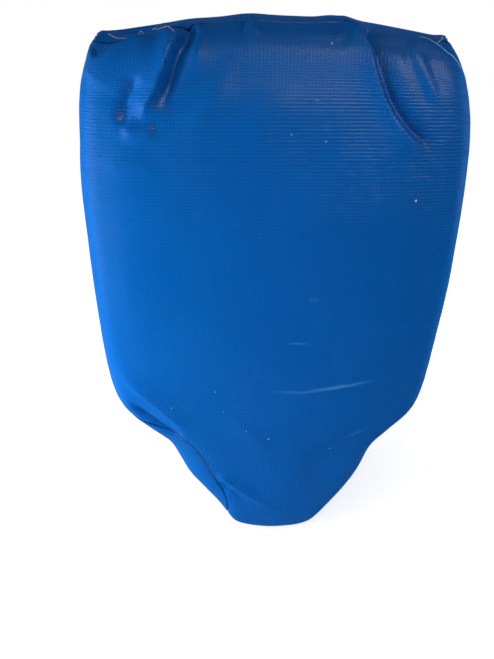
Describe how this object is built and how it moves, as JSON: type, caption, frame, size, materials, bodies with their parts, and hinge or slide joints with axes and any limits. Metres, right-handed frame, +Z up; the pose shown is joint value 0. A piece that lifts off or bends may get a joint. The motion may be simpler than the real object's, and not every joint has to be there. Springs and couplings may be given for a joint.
{
  "type": "blocking pad",
  "caption": "Hand-held foam blocking pad with a flat top and a narrow rounded foot: boxed vinyl cover, layered foam, zip and webbing grips on the back.",
  "frame": {"origin": "midway between the two hand grips, at the middle of their length and thickness", "axes": "+Z points up to the flat end, +Y out of the back towards the holder, so the struck face points to -Y, and +X to the right of someone who looks at that face"},
  "size_m": [0.3636, 0.169, 0.5898],
  "materials": {
    "vinyl": "satin",
    "strike_foam": "matte",
    "core_foam": "matte",
    "back_foam": "matte",
    "webbing": "matte",
    "zip_tape": "matte",
    "zip_plastic": "satin",
    "zip_metal": "satin",
    "eyelet_brass": "satin"
  },
  "bodies": {
    "pad": {"back_panel_left": "vinyl", "back_panel_right": "vinyl", "face_panel": "vinyl", "foam_back_layer": "back_foam", "foam_core_layer": "core_foam", "foam_strike_layer": "strike_foam", "handle_left": "webbing", "handle_patch_lower_left": "vinyl", "handle_patch_lower_right": "vinyl", "handle_patch_upper_left": "vinyl", "handle_patch_upper_right": "vinyl", "handle_right": "webbing", "side_gusset": "vinyl", "top_gusset": "vinyl", "vent_eyelet_lower_left": "eyelet_brass", "vent_eyelet_lower_right": "eyelet_brass", "vent_eyelet_upper_left": "eyelet_brass", "vent_eyelet_upper_right": "eyelet_brass", "vent_washer_lower_left": "eyelet_brass", "vent_washer_lower_right": "eyelet_brass", "vent_washer_upper_left": "eyelet_brass", "vent_washer_upper_right": "eyelet_brass", "zipper_bottom_stop": "zip_metal", "zipper_tape_left": "zip_tape", "zipper_tape_right": "zip_tape", "zipper_teeth_left": "zip_plastic", "zipper_teeth_right": "zip_plastic", "zipper_top_stop_left": "zip_metal", "zipper_top_stop_right": "zip_metal"},
    "slider": {"zipper_slider": "zip_metal"},
    "pull": {"zipper_pull": "zip_metal"}
  },
  "joints": [
    {"name": "zipper_slide", "type": "slide", "parent": "pad", "child": "slider", "axis": [0, 0, -1], "range_m": [0, 0.368], "deforming": ["zipper_teeth_left", "zipper_teeth_right"]},
    {"name": "pull_hinge", "type": "hinge", "parent": "slider", "child": "pull", "pos_m": [0, -0.03645, 0.1622], "axis": [1, 0, 0], "range_deg": [0, 170]}
  ]
}
